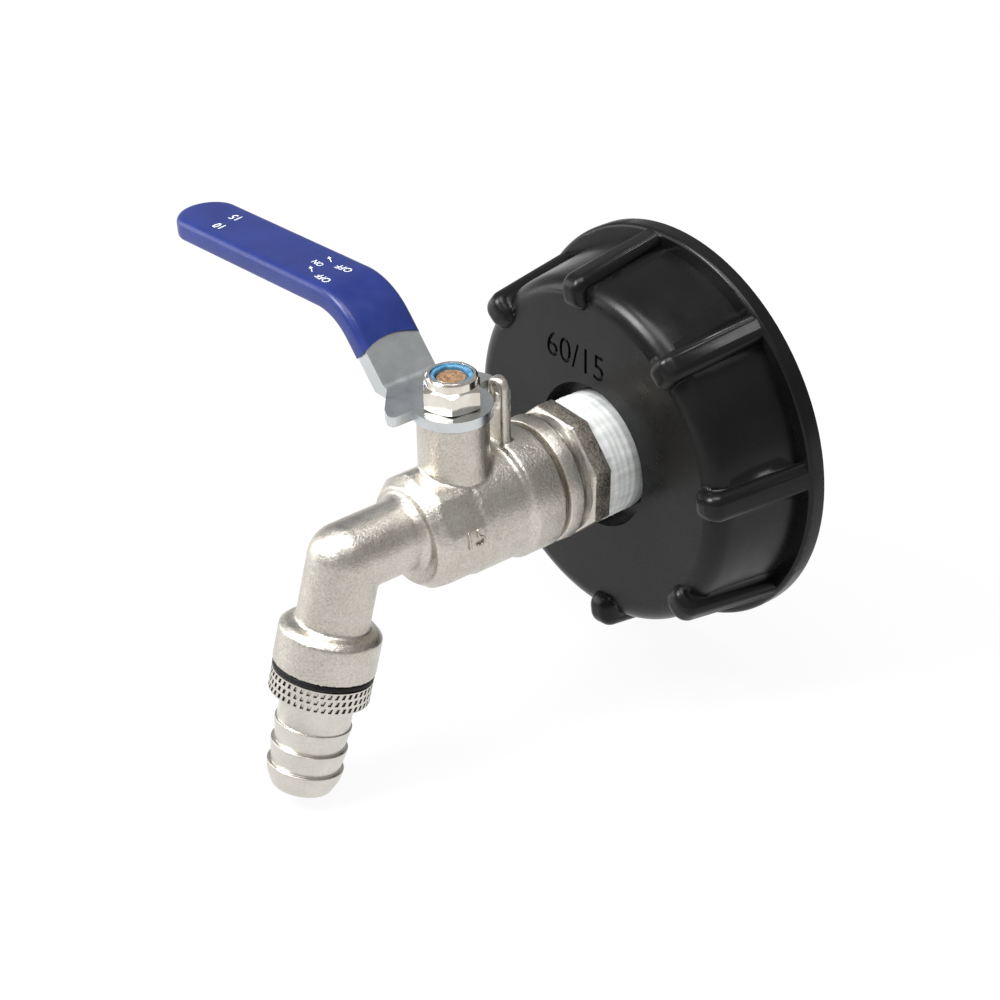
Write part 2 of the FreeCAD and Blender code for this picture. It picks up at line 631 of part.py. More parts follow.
def lever_plate():
    half = LEVER_WIDTH / 2
    plate = side_slab(0, LEVER_T, 0, STEM_Y - half, STEM_Y + half)
    lever = plate.fuse(lever_flanges())
    lever = lever.common(plan_shape(LEVER_WIDTH, LEVER_TIP_X, 0))
    hub = post_z(LEVER_UNDER_Z, LEVER_TOP_Z, LEVER_DISC_R)
    lever = lever.fuse([hub, lever_ear(-1), lever_ear(1)])
    hole = post_z(LEVER_UNDER_Z - 1, LEVER_TOP_Z + 1, STEM_NECK_R + STEM_GAP)
    hole = flats_cut(hole, LEVER_UNDER_Z - 1, LEVER_TOP_Z + 1, STEM_NECK_FLATS + 2 * STEM_GAP)
    return lever.cut(hole).removeSplitter()


def grip_block(depth_low, depth_high, width, tip_x):
    half = width / 2
    slab = side_slab(depth_low, depth_high, LEVER_TIP_X - tip_x, STEM_Y - half, STEM_Y + half)
    return slab.common(plan_shape(width, tip_x, GRIP_START_X))


def lever_grip():
    """Vinyl dip over the handle: a close sleeve that follows the channel, open below."""
    outer = grip_block(-GRIP_T, FLANGE_DEPTH + GRIP_T, LEVER_WIDTH + 2 * GRIP_T, LEVER_TIP_X - GRIP_T)
    metal = grip_block(0, FLANGE_DEPTH, LEVER_WIDTH, LEVER_TIP_X)
    channel_width = LEVER_WIDTH - 2 * FLANGE_T
    channel_tip = LEVER_TIP_X + FLANGE_T
    groove_width = channel_width - 2 * GRIP_T
    groove = grip_block(LEVER_T + GRIP_T, FLANGE_DEPTH + 3 * GRIP_T, groove_width, channel_tip + GRIP_T)
    channel = grip_block(LEVER_T, FLANGE_DEPTH + GRIP_T / 2, channel_width, channel_tip)
    lining = channel.cut(groove)
    return outer.cut(metal).fuse(lining).cut(groove).cut(lever_plate())


# ---------------------------------------------------------------- lock nut

def lock_nut():
    corner_r = NUT_AF / math.sqrt(3)
    hex_top = NUT_BASE_Z + NUT_HEX_LEN
    corners = []
    for i in range(6):
        angle = math.radians(NUT_TURN + 60 * i)
        corners.append(Vector(corner_r * math.cos(angle), STEM_Y + corner_r * math.sin(angle), NUT_BASE_Z))
    prism = Part.Face(Part.makePolygon(corners + [corners[0]])).extrude(Vector(0, 0, NUT_HEX_LEN))
    edge_z = hex_top - NUT_CHAMFER
    half_chamfer = NUT_CHAMFER / 2
    turned = lathe_z([(NUT_BASE_Z, 0), (NUT_BASE_Z, NUT_AF / 2 - NUT_FOOT_STEP),
                      (NUT_BASE_Z + half_chamfer, corner_r), (edge_z, corner_r), (hex_top, NUT_CROWN_R),
                      (hex_top, 0)])
    prism = prism.common(turned)
    crown = lathe_z([(edge_z, 0), (edge_z, NUT_CROWN_R), (NUT_TOP_Z - half_chamfer, NUT_CROWN_R),
                     (NUT_TOP_Z, NUT_CROWN_R - half_chamfer), (NUT_TOP_Z, 0)])
    nut = prism.fuse(crown)
    nut = nut.cut(post_z(NUT_BASE_Z - 1, NUT_TOP_Z + 1, STEM_NECK_R + THREAD_GAP))
    return nut.cut(post_z(NUT_TOP_Z - NYLON_INSET - NYLON_T, NUT_TOP_Z + 1, NYLON_OUTER_R)).removeSplitter()


def lock_nut_insert():
    high = NUT_TOP_Z - NYLON_INSET
    low = high - NYLON_T
    return post_z(low, high, NYLON_OUTER_R).cut(post_z(low - 1, high + 1, NYLON_INNER_R + THREAD_GAP))


# ---------------------------------------------------------------- outlet washer and hose tail

def outlet_washer():
    return lathe_outlet([(WASHER_START, OUTLET_SOCKET_R), (WASHER_START, WASHER_R), (KNURL_START, WASHER_R),
                         (KNURL_START, OUTLET_SOCKET_R)])


def hose_tail():
    """Knurled flange, male thread above it and three barbs below it, bored through."""
    thread_r = OUTLET_SOCKET_R - THREAD_GAP
    thread_start = WASHER_START - TAIL_THREAD_LEN
    outline = [(thread_start, TAIL_BORE_R), (thread_start, thread_r), (KNURL_START, thread_r),
               (KNURL_START, KNURL_R), (KNURL_END - KNURL_EDGE, KNURL_R), (KNURL_END, KNURL_R - KNURL_EDGE),
               (KNURL_END, TAIL_NECK_R)]
    for i in range(BARB_COUNT):
        start = BARB_START + i * BARB_PITCH
        before = TAIL_NECK_R if i == 0 else BARB_CREST_R - BARB_TAPER
        outline.append((start, before))
        outline.append((start, BARB_CREST_R))
        outline.append((start + BARB_LAND, BARB_CREST_R))
    outline.append((TIP_START + TIP_BREAK, BARB_CREST_R - BARB_TAPER / 2))
    outline.append((TAIL_END, TIP_END_R))
    outline.append((TAIL_END, TAIL_BORE_R))
    return lathe_outlet(outline)


MAKERS = {
    "tank_cap": tank_cap,
    "cap_gasket": cap_gasket,
    "ptfe_tape": ptfe_tape,
    "inlet_connector": inlet_connector,
    "connector_o_ring": connector_o_ring,
    "rear_seat": lambda: seat(REAR_SEAT_FACE_Y, REAR_SEAT_BACK_Y),
    "front_seat": lambda: seat(FRONT_SEAT_FACE_Y, FRONT_SEAT_BACK_Y),
    "valve_body": valve_body,
    "ball": ball,
    "stem": stem,
    "stem_thrust_washer": stem_thrust_washer,
    "stem_o_ring_lower": lambda: stem_o_ring(0),
    "stem_o_ring_upper": lambda: stem_o_ring(1),
    "lever_plate": lever_plate,
    "lever_grip": lever_grip,
    "lock_nut": lock_nut,
    "lock_nut_insert": lock_nut_insert,
    "outlet_washer": outlet_washer,
    "hose_tail": hose_tail,
}

os.makedirs("parts", exist_ok=True)
for node, maker in MAKERS.items():
    shape = maker()
    solids = shape.Solids
    box = shape.BoundBox
    print(f"{node}: {len(solids)} solid, valid {shape.isValid()}, volume {shape.Volume:.1f}, "
          f"y {box.YMin:.1f}..{box.YMax:.1f}, z {box.ZMin:.1f}..{box.ZMax:.1f}")
    whole = solids[0] if len(solids) == 1 else Part.makeCompound(solids)
    whole.exportStep(f"parts/{node}.step")
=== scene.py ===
import math

import bpy
from mathutils import Matrix, Vector


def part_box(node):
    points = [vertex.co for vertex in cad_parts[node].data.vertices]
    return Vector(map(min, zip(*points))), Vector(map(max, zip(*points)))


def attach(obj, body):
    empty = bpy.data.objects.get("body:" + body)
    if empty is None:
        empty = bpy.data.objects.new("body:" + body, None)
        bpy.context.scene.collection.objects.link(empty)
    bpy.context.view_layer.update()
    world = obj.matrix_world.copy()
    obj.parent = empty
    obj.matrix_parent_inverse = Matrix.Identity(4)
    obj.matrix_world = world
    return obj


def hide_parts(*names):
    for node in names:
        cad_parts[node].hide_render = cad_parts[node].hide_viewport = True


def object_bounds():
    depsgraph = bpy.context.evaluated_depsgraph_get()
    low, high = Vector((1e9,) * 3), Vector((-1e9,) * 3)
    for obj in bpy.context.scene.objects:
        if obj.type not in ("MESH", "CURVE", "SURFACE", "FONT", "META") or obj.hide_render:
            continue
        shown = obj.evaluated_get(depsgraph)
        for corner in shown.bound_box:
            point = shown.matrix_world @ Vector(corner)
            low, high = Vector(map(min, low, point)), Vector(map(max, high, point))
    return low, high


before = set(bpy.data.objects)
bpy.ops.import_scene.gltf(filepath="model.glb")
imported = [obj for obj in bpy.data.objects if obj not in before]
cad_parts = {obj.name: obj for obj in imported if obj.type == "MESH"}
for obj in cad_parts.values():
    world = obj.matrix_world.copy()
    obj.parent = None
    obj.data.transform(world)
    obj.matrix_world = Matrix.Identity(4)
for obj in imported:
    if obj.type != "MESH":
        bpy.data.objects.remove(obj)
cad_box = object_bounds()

# Tank adapter tap. Everything is in metres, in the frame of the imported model: +Y runs to the tank, +Z up the stem.

MM = 0.001

# Places read from the frame
STEM_Y = (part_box("ball")[0].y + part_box("ball")[1].y) / 2
CAP_FACE_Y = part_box("cap_gasket")[0].y - 3.5 * MM
DISC_TOP_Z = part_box("lock_nut")[0].z - 0.05 * MM

# Lever side line, the same as the solid's
FOLD_X = -12.1 * MM
BEND_X = -25.0 * MM
SLOPE = math.radians(46.0)
DROOP = math.radians(4.2)
BEND_R = 15.0 * MM
GRIP_START_X = -17.2 * MM
GRIP_T = 0.45 * MM
GRIP_HALF = 6.45 * MM
GRIP_DEPTH = 4.35 * MM
TIP_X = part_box("lever_grip")[0].x

# Outlet axis, from the elbow point down
ELBOW = Vector((0.0, -79.8 * MM, 1.0 * MM))
TILT = math.radians(15.9)
OUTLET = Vector((0.0, -math.sin(TILT), -math.cos(TILT)))


# ---------------------------------------------------------------- working by hand

def pick_only(piece):
    bpy.ops.object.select_all(action="DESELECT")
    piece.select_set(True)
    bpy.context.view_layer.objects.active = piece


def edit(piece):
    pick_only(piece)
    bpy.ops.object.mode_set(mode="EDIT")
    bpy.ops.mesh.select_mode(type="FACE")
    bpy.ops.mesh.select_all(action="SELECT")


def leave_edit():
    bpy.ops.object.mode_set(mode="OBJECT")


def pick_faces(piece, wanted):
    """In edit mode, leave only the faces selected whose centre and normal pass the test."""
    bpy.ops.mesh.select_all(action="DESELECT")
    bpy.ops.object.mode_set(mode="OBJECT")
    for face in piece.data.polygons:
        face.select = wanted(face.center, face.normal)
    bpy.ops.object.mode_set(mode="EDIT")


def pick_edges(piece, wanted):
    """In edit mode, leave only the edges selected whose two ends pass the test."""
    bpy.ops.mesh.select_mode(type="EDGE")
    bpy.ops.mesh.select_all(action="DESELECT")
    bpy.ops.object.mode_set(mode="OBJECT")
    mesh = piece.data
    for line in mesh.edges:
        line.select = wanted(mesh.vertices[line.vertices[0]].co, mesh.vertices[line.vertices[1]].co)
    bpy.ops.object.mode_set(mode="EDIT")


def settle(piece):
    """Put the piece's place into its mesh."""
    pick_only(piece)
    bpy.ops.object.transform_apply(location=True, rotation=True, scale=True)


def modify(piece, kind, **values):
    """Add a modifier and apply it."""
    pick_only(piece)
    modifier = piece.modifiers.new(kind.lower(), kind)
    for name, value in values.items():
        setattr(modifier, name, value)
    bpy.ops.object.modifier_apply(modifier=modifier.name)


def flat_faces_stay_flat(piece):
    """Let the large faces set the shading, so that narrow fillets beside them don't streak them."""
    modify(piece, "WEIGHTED_NORMAL", keep_sharp=True, weight=100)


def smooth(piece, angle=None):
    pick_only(piece)
    if angle is None:
        bpy.ops.object.shade_smooth()
    else:
        bpy.ops.object.shade_smooth_by_angle(angle=math.radians(angle))


def merged_copy(node, name):
    """A copy of a node's shape with its loose triangles joined."""
    piece = bpy.data.objects.new(name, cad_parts[node].data.copy())
    piece.data.materials.clear()
    bpy.context.scene.collection.objects.link(piece)
    edit(piece)
    bpy.ops.mesh.remove_doubles(threshold=0.002 * MM)
    leave_edit()
    return piece


def cast_copy(node, name, voxel, rounds):
    """A copy of a node's shape with the soft edges of a casting or moulding."""
    piece = merged_copy(node, name)
    modify(piece, "REMESH", mode="VOXEL", voxel_size=voxel)
    modify(piece, "SMOOTH", factor=0.5, iterations=rounds)
    smooth(piece)
    return piece


def pressed_copy(node, name, width):
    """A copy of a node's shape with its sharp edges broken."""
    piece = merged_copy(node, name)
    edit(piece)
    bpy.ops.mesh.dissolve_limited(angle_limit=math.radians(0.5))
    leave_edit()
    modify(piece, "BEVEL", width=width, segments=3, limit_method="ANGLE", angle_limit=math.radians(32))
    smooth(piece, 28)
    return piece


def turned(name, profile, origin, axis, across, steps=128):
    """A turned piece: the closed profile of (distance along, radius) points is spun about the axis."""
    points = [origin + axis * (along * MM) + across * (radius * MM) for along, radius in profile]
    mesh = bpy.data.meshes.new(name)
    mesh.from_pydata(points, [(i, (i + 1) % len(points)) for i in range(len(points))], [])
    piece = bpy.data.objects.new(name, mesh)
    bpy.context.scene.collection.objects.link(piece)
    pick_only(piece)
    bpy.ops.object.mode_set(mode="EDIT")
    bpy.ops.mesh.select_all(action="SELECT")
    bpy.ops.mesh.spin(steps=steps, angle=2 * math.pi, center=origin, axis=axis)
    bpy.ops.mesh.select_all(action="SELECT")
    bpy.ops.mesh.remove_doubles(threshold=0.004 * MM)
    bpy.ops.mesh.normals_make_consistent(inside=False)
    leave_edit()
    smooth(piece, 35)
    return piece


def turned_y(name, profile, steps=128):
    return turned(name, profile, Vector((0, 0, 0)), Vector((0, 1, 0)), Vector((1, 0, 0)), steps)


def turned_outlet(name, profile, steps=128):
    return turned(name, profile, ELBOW, OUTLET, Vector((1, 0, 0)), steps)


def rounded(profile, radius, steps=3):
    """The same closed outline with each corner cut by a short arc."""
    result = []
    count = len(profile)
    for i in range(count):
        before = Vector(profile[i - 1])
        corner = Vector(profile[i])
        after = Vector(profile[(i + 1) % count])
        reach = min(radius, (before - corner).length * 0.45, (after - corner).length * 0.45)
        start = corner + (before - corner).normalized() * reach
        end = corner + (after - corner).normalized() * reach
        for k in range(steps + 1):
            t = k / steps
            point = start * (1 - t) ** 2 + corner * (2 * t * (1 - t)) + end * t * t
            result.append((point.x, point.y))
    return result


def lettering(name, words, size, depth, align="CENTER"):
    """Plain sans lettering as a mesh, lying in XY at the origin."""
    curve = bpy.data.curves.new(name, "FONT")
    curve.body = words
    curve.size = size
    curve.extrude = depth
    curve.align_x = align
    curve.align_y = "CENTER"
    curve.resolution_u = 3
    text = bpy.data.objects.new(name, curve)
    bpy.context.scene.collection.objects.link(text)
    pick_only(text)
    bpy.ops.object.convert(target="MESH")
    piece = bpy.context.view_layer.objects.active
    edit(piece)
    bpy.ops.mesh.remove_doubles(threshold=0.001 * MM)
    leave_edit()
    return piece


def dress(piece, finish, body, slot, *nodes):
    """Give a piece its finish, its body and the nodes that it stands for."""
    if not piece.data.materials:
        piece.data.materials.append(finish)
    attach(piece, body)
    if nodes:
        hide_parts(*nodes)


# ---------------------------------------------------------------- finishes

class Finish:
    """A Principled material whose patterns read the piece's own coordinates."""

    def __init__(self, name, colour, metallic, roughness):
        self.material = bpy.data.materials.new(name)
        self.material.use_nodes = True
        self.nodes = self.material.node_tree.nodes
        self.links = self.material.node_tree.links
        self.shader = self.nodes["Principled BSDF"]
        self.shader.inputs["Base Color"].default_value = (*colour, 1.0)
        self.shader.inputs["Metallic"].default_value = metallic
        self.shader.inputs["Roughness"].default_value = roughness
        self.place = self.nodes.new("ShaderNodeTexCoord").outputs["Object"]

    def stretched(self, scale, turn=(0.0, 0.0, 0.0)):
        mapping = self.nodes.new("ShaderNodeMapping")
        mapping.inputs["Scale"].default_value = scale
        mapping.inputs["Rotation"].default_value = turn
        self.links.new(self.place, mapping.inputs["Vector"])
        return mapping.outputs["Vector"]

    def noise(self, size, detail=3.0, rough=0.55, place=None):
        """Noise whose blotches are about size metres across."""
        node = self.nodes.new("ShaderNodeTexNoise")
        node.inputs["Scale"].default_value = 1.0 / size
        node.inputs["Detail"].default_value = detail
        node.inputs["Roughness"].default_value = rough
        self.links.new(place or self.place, node.inputs["Vector"])
        return node.outputs["Fac"]

    def cells(self, size):
        node = self.nodes.new("ShaderNodeTexVoronoi")
        node.inputs["Scale"].default_value = 1.0 / size
        self.links.new(self.place, node.inputs["Vector"])
        return node.outputs["Distance"]

    def lines(self, spacing, place, direction="Z", distortion=0.6):
        node = self.nodes.new("ShaderNodeTexWave")
        node.bands_direction = direction
        node.inputs["Scale"].default_value = 0.314 / spacing
        node.inputs["Distortion"].default_value = distortion
        node.inputs["Detail"].default_value = 2.0
        self.links.new(place, node.inputs["Vector"])
        return node.outputs["Fac"]

    def ramp(self, value, low, high, low_at=0.35, high_at=0.65):
        node = self.nodes.new("ShaderNodeValToRGB")
        node.color_ramp.elements[0].position = low_at
        node.color_ramp.elements[1].position = high_at
        node.color_ramp.elements[0].color = (*low, 1.0)
        node.color_ramp.elements[1].color = (*high, 1.0)
        self.links.new(value, node.inputs["Fac"])
        return node.outputs["Color"]

    def blended(self, first, second, amount, kind="MIX"):
        node = self.nodes.new("ShaderNodeMix")
        node.data_type = "RGBA"
        node.blend_type = kind
        if hasattr(amount, "links"):
            self.links.new(amount, node.inputs["Factor"])
        else:
            node.inputs["Factor"].default_value = amount
        self.links.new(first, node.inputs["A"])
        self.links.new(second, node.inputs["B"])
        return node.outputs["Result"]

    def colour(self, value):
        self.links.new(value, self.shader.inputs["Base Color"])

    def rough(self, value, low, high):
        node = self.nodes.new("ShaderNodeMapRange")
        node.inputs["From Min"].default_value = 0.3
        node.inputs["From Max"].default_value = 0.7
        node.inputs["To Min"].default_value = low
        node.inputs["To Max"].default_value = high
        self.links.new(value, node.inputs["Value"])
        self.links.new(node.outputs["Result"], self.shader.inputs["Roughness"])

    def bumps(self, layers):
        """layers is a list of (pattern, depth in metres)."""
        normal = None
        for pattern, depth in layers:
            node = self.nodes.new("ShaderNodeBump")
            node.inputs["Strength"].default_value = 1.0
            node.inputs["Distance"].default_value = depth
            self.links.new(pattern, node.inputs["Height"])
            if normal is not None:
                self.links.new(normal, node.inputs["Normal"])
            normal = node.outputs["Normal"]
        self.links.new(normal, self.shader.inputs["Normal"])


def cast_nickel():
    f = Finish("cast_nickel", (0.60, 0.56, 0.50), 1.0, 0.36)
    broad = f.ramp(f.noise(9 * MM, 2), (0.53, 0.49, 0.43), (0.66, 0.625, 0.57))
    grain = f.ramp(f.noise(0.45 * MM, 4, 0.7), (0.32, 0.285, 0.24), (0.70, 0.665, 0.61), 0.32, 0.60)
    f.colour(f.blended(broad, grain, 0.45))
    f.rough(f.noise(1.4 * MM, 4), 0.27, 0.42)
    f.bumps([(f.noise(0.42 * MM, 3, 0.65), 0.085 * MM), (f.noise(2.6 * MM, 2), 0.07 * MM)])
    return f.material


def rough_casting():
    f = Finish("rough_casting", (0.25, 0.22, 0.19), 1.0, 0.5)
    speckle = f.ramp(f.noise(0.42 * MM, 5, 0.8), (0.035, 0.03, 0.028), (0.52, 0.48, 0.42), 0.40, 0.62)
    broad = f.ramp(f.noise(4 * MM, 2), (0.10, 0.09, 0.075), (0.42, 0.37, 0.31))
    f.colour(f.blended(broad, speckle, 0.62))
    f.rough(f.noise(0.8 * MM, 4), 0.38, 0.65)
    f.bumps([(f.noise(0.4 * MM, 5, 0.75), 0.14 * MM), (f.cells(0.7 * MM), 0.06 * MM)])
    return f.material


def turned_nickel():
    f = Finish("turned_nickel", (0.66, 0.63, 0.58), 1.0, 0.3)
    broad = f.ramp(f.noise(7 * MM, 2), (0.60, 0.57, 0.52), (0.71, 0.68, 0.63))
    fine = f.ramp(f.noise(0.5 * MM, 3, 0.6), (0.52, 0.49, 0.44), (0.74, 0.71, 0.66))
    f.colour(f.blended(broad, fine, 0.3))
    f.rough(f.noise(1.6 * MM, 3), 0.26, 0.40)
    along = f.stretched((1, 1, 1), (TILT, 0.0, 0.0))
    f.bumps([(f.lines(0.22 * MM, along, "Z", 0.4), 0.004 * MM), (f.noise(0.6 * MM, 3), 0.012 * MM)])
    return f.material


def polished_nickel():
    f = Finish("polished_nickel", (0.74, 0.70, 0.63), 1.0, 0.12)
    f.colour(f.ramp(f.noise(3 * MM, 3), (0.66, 0.61, 0.53), (0.80, 0.76, 0.70)))
    f.rough(f.noise(1.1 * MM, 3), 0.09, 0.2)
    f.bumps([(f.noise(0.9 * MM, 2), 0.010 * MM)])
    return f.material


def lever_zinc():
    f = Finish("lever_zinc", (0.60, 0.62, 0.63), 1.0, 0.3)
    broad = f.ramp(f.noise(6 * MM, 2), (0.55, 0.575, 0.585), (0.64, 0.66, 0.67))
    fine = f.ramp(f.noise(0.7 * MM, 3), (0.50, 0.525, 0.54), (0.68, 0.70, 0.71))
    f.colour(f.blended(broad, fine, 0.12))
    f.rough(f.noise(2.0 * MM, 3), 0.26, 0.34)
    f.bumps([(f.noise(1.2 * MM, 2), 0.002 * MM)])
    return f.material


def cap_plastic():
    f = Finish("cap_plastic", (0.005, 0.005, 0.005), 0.0, 0.34)
    f.colour(f.ramp(f.noise(14 * MM, 3), (0.0030, 0.0031, 0.0031), (0.0055, 0.0056, 0.0056)))
    f.rough(f.noise(5 * MM, 4), 0.24, 0.33)
    f.shader.inputs["Specular IOR Level"].default_value = 0.23
    f.bumps([(f.noise(0.35 * MM, 2), 0.004 * MM), (f.noise(11 * MM, 2), 0.06 * MM)])
    return f.material


def grip_vinyl():
    f = Finish("grip_vinyl", (0.010, 0.022, 0.14), 0.0, 0.33)
    f.colour(f.ramp(f.noise(10 * MM, 2), (0.0085, 0.019, 0.125), (0.0125, 0.026, 0.155)))
    f.shader.inputs["Specular IOR Level"].default_value = 0.35
    f.rough(f.noise(2.5 * MM, 4), 0.27, 0.42)
    f.bumps([(f.noise(0.5 * MM, 2), 0.005 * MM), (f.noise(6 * MM, 2), 0.06 * MM)])
    return f.material


def print_white():
    f = Finish("print_white", (0.72, 0.76, 0.84), 0.0, 0.45)
    f.colour(f.ramp(f.noise(0.5 * MM, 3), (0.50, 0.56, 0.72), (0.80, 0.83, 0.88), 0.25, 0.5))
    f.bumps([(f.noise(0.3 * MM, 2), 0.004 * MM)])
    return f.material


def thread_tape():
    f = Finish("thread_tape", (0.70, 0.71, 0.70), 0.0, 0.5)
    streaks = f.stretched((1.0, 0.16, 1.0))
    f.colour(f.ramp(f.noise(1.6 * MM, 4, 0.6, streaks), (0.56, 0.58, 0.57), (0.76, 0.77, 0.76)))
    f.rough(f.noise(1.5 * MM, 3), 0.4, 0.6)
    f.shader.inputs["Subsurface Weight"].default_value = 0.1
    f.shader.inputs["Subsurface Scale"].default_value = 0.001
    f.bumps([(f.noise(0.9 * MM, 3, 0.6, streaks), 0.06 * MM), (f.noise(0.3 * MM, 2), 0.01 * MM)])
    return f.material


def rubber(name, shade):
    f = Finish(name, (shade, shade, shade), 0.0, 0.6)
    f.shader.inputs["Specular IOR Level"].default_value = 0.25
    f.colour(f.ramp(f.noise(1.2 * MM, 4), (shade * 0.7,) * 3, (shade * 1.5,) * 3))
    f.rough(f.noise(1.0 * MM, 3), 0.5, 0.72)
    f.bumps([(f.noise(0.3 * MM, 3), 0.015 * MM)])
    return f.material


def white_resin():
    f = Finish("white_resin", (0.82, 0.82, 0.80), 0.0, 0.38)
    f.colour(f.ramp(f.noise(2 * MM, 3), (0.76, 0.76, 0.73), (0.86, 0.86, 0.84)))
    f.rough(f.noise(1.5 * MM, 3), 0.32, 0.46)
    f.bumps([(f.noise(0.4 * MM, 3), 0.008 * MM)])
    return f.material


def ball_chrome():
    f = Finish("ball_chrome", (0.72, 0.73, 0.74), 1.0, 0.08)
    f.colour(f.ramp(f.noise(4 * MM, 2), (0.66, 0.67, 0.68), (0.78, 0.79, 0.80)))
    f.rough(f.noise(1.2 * MM, 3), 0.05, 0.14)
    f.bumps([(f.noise(0.5 * MM, 2), 0.002 * MM)])
    return f.material


def stem_brass():
    f = Finish("stem_brass", (0.52, 0.32, 0.17), 0.8, 0.45)
    f.colour(f.ramp(f.noise(0.8 * MM, 4, 0.6), (0.36, 0.20, 0.10), (0.66, 0.43, 0.25)))
    f.rough(f.noise(0.8 * MM, 3), 0.36, 0.55)
    f.bumps([(f.noise(0.35 * MM, 3), 0.02 * MM)])
    return f.material


def nylon_blue():
    f = Finish("nylon_blue", (0.06, 0.22, 0.50), 0.0, 0.3)
    f.colour(f.ramp(f.noise(1.1 * MM, 3), (0.03, 0.13, 0.27), (0.10, 0.30, 0.48)))
    f.rough(f.noise(1.0 * MM, 3), 0.22, 0.4)
    f.bumps([(f.noise(0.4 * MM, 2), 0.02 * MM)])
    return f.material


# Painted shade: a dark metal colour for the knurl's pits, standing in for the shadow that falls in them.
def knurl_pit_painted_shade():
    f = Finish("knurl_pit_painted_shade", (0.13, 0.115, 0.10), 1.0, 0.6)
    f.colour(f.ramp(f.noise(0.5 * MM, 3), (0.07, 0.06, 0.05), (0.26, 0.235, 0.20)))
    f.rough(f.noise(0.6 * MM, 3), 0.5, 0.7)
    f.bumps([(f.noise(0.3 * MM, 2), 0.01 * MM)])
    return f.material


CAST = cast_nickel()
ROUGH_CAST = rough_casting()
TURNED = turned_nickel()
POLISHED = polished_nickel()
ZINC = lever_zinc()
CAP = cap_plastic()
VINYL = grip_vinyl()
PRINT = print_white()
TAPE = thread_tape()
SEAL = rubber("seal_rubber", 0.004)
GASKET = rubber("gasket_rubber", 0.022)
RESIN = white_resin()
CHROME = ball_chrome()
BRASS = stem_brass()
NYLON = nylon_blue()
KNURL_PIT_PAINTED_SHADE = knurl_pit_painted_shade()


# ---------------------------------------------------------------- tank cap

def cap_shell():
    """The moulded cap, with plain numbers sunk in its face."""
    cap = merged_copy("tank_cap", "cap_shell")
    numbers = lettering("cap_numbers", "60/15", 7.6 * MM, 0.55 * MM)
    numbers.rotation_euler = (math.pi / 2, 0, 0)
    numbers.scale = (0.98, 1.0, 1.0)
    numbers.location = (-4.6 * MM, CAP_FACE_Y, 19.0 * MM)
    settle(numbers)
    pick_only(cap)
    cutter = cap.modifiers.new("numbers", "BOOLEAN")
    cutter.operation = "DIFFERENCE"
    cutter.object = numbers
    cutter.solver = "EXACT"
    bpy.ops.object.modifier_apply(modifier=cutter.name)
    bpy.data.objects.remove(numbers)
    smooth(cap, 32)
    for face in cap.data.polygons:
        if abs(face.normal.y) > 0.9995:
            face.use_smooth = False
    dress(cap, CAP, "valve", "cap_plastic", "tank_cap")


# ---------------------------------------------------------------- metal of the tap

def valve_casting():
    body = cast_copy("valve_body", "valve_casting", 0.33 * MM, 4)
    dress(body, CAST, "valve", "cast_nickel", "valve_body")


def size_number():
    """A plain raised number on the side of the casting, wrapped round its shoulder."""
    radius = 11.25 * MM
    number = lettering("casting_number", "15", 5.0 * MM, 0.42 * MM)
    modify(number, "REMESH", mode="VOXEL", voxel_size=0.16 * MM)
    modify(number, "SMOOTH", factor=0.5, iterations=4)
    middle = math.radians(8)
    for vertex in number.data.vertices:
        angle = middle + vertex.co.y / radius
        out = radius + vertex.co.z
        vertex.co = Vector((out * math.cos(angle), -59.0 * MM + vertex.co.x, out * math.sin(angle)))
    smooth(number)
    dress(number, CAST, "valve", "cast_nickel")


def connector():
    """Inlet connector: a turned core with its collar, and the eight-sided rim as it came out of the mould."""
    profile = [(-46.15, 5.0), (-11.5, 5.0), (-11.5, 9.7), (-12.1, 10.3), (-28.2, 10.3), (-28.2, 11.8), (-32.3, 11.8),
               (-33.5, 11.75), (-34.1, 12.38), (-37.2, 12.12), (-37.2, 11.4), (-36.78, 10.15), (-44.4, 10.15),
               (-44.4, 8.8), (-46.15, 8.8)]
    core = turned_y("connector_core", rounded(profile, 0.35), 144)
    dress(core, CAST, "valve", "cast_nickel", "inlet_connector")

    back = -27.7 * MM
    length = 3.9 * MM
    corner = 12.1 * MM / math.cos(math.pi / 8)
    bpy.ops.object.select_all(action="DESELECT")
    bpy.ops.mesh.primitive_cylinder_add(vertices=8, radius=corner, depth=length, location=(0, back - length / 2, 0),
                                        rotation=(math.pi / 2, 0, 0))
    rim = bpy.context.view_layer.objects.active
    rim.name = "connector_rim"
    settle(rim)
    first = min(rim.data.vertices, key=lambda v: (v.co - Vector((corner, v.co.y, 0))).length)
    start = math.atan2(first.co.z, first.co.x)
    turn = Matrix.Rotation(-(math.radians(20.0) - start), 4, "Y")
    rim.data.transform(turn)
    edit(rim)
    pick_faces(rim, lambda centre, normal: normal.y < -0.9)
    bpy.ops.mesh.inset(thickness=0.95 * MM)
    bpy.ops.transform.translate(value=(0, -0.55 * MM, 0))
    leave_edit()
    modify(rim, "BEVEL", width=0.28 * MM, segments=3, limit_method="ANGLE", angle_limit=math.radians(20))
    edit(rim)
    bpy.ops.mesh.subdivide(number_cuts=1)
    leave_edit()
    rim.data.materials.append(CAST)
    rim.data.materials.append(ROUGH_CAST)
    front = back - length
    for face in rim.data.polygons:
        flat = abs(face.normal.y) < 0.5 and face.center.y > front + 0.35 * MM
        face.material_index = 1 if flat else 0
    smooth(rim, 25)
    dress(rim, CAST, "valve", "cast_nickel")


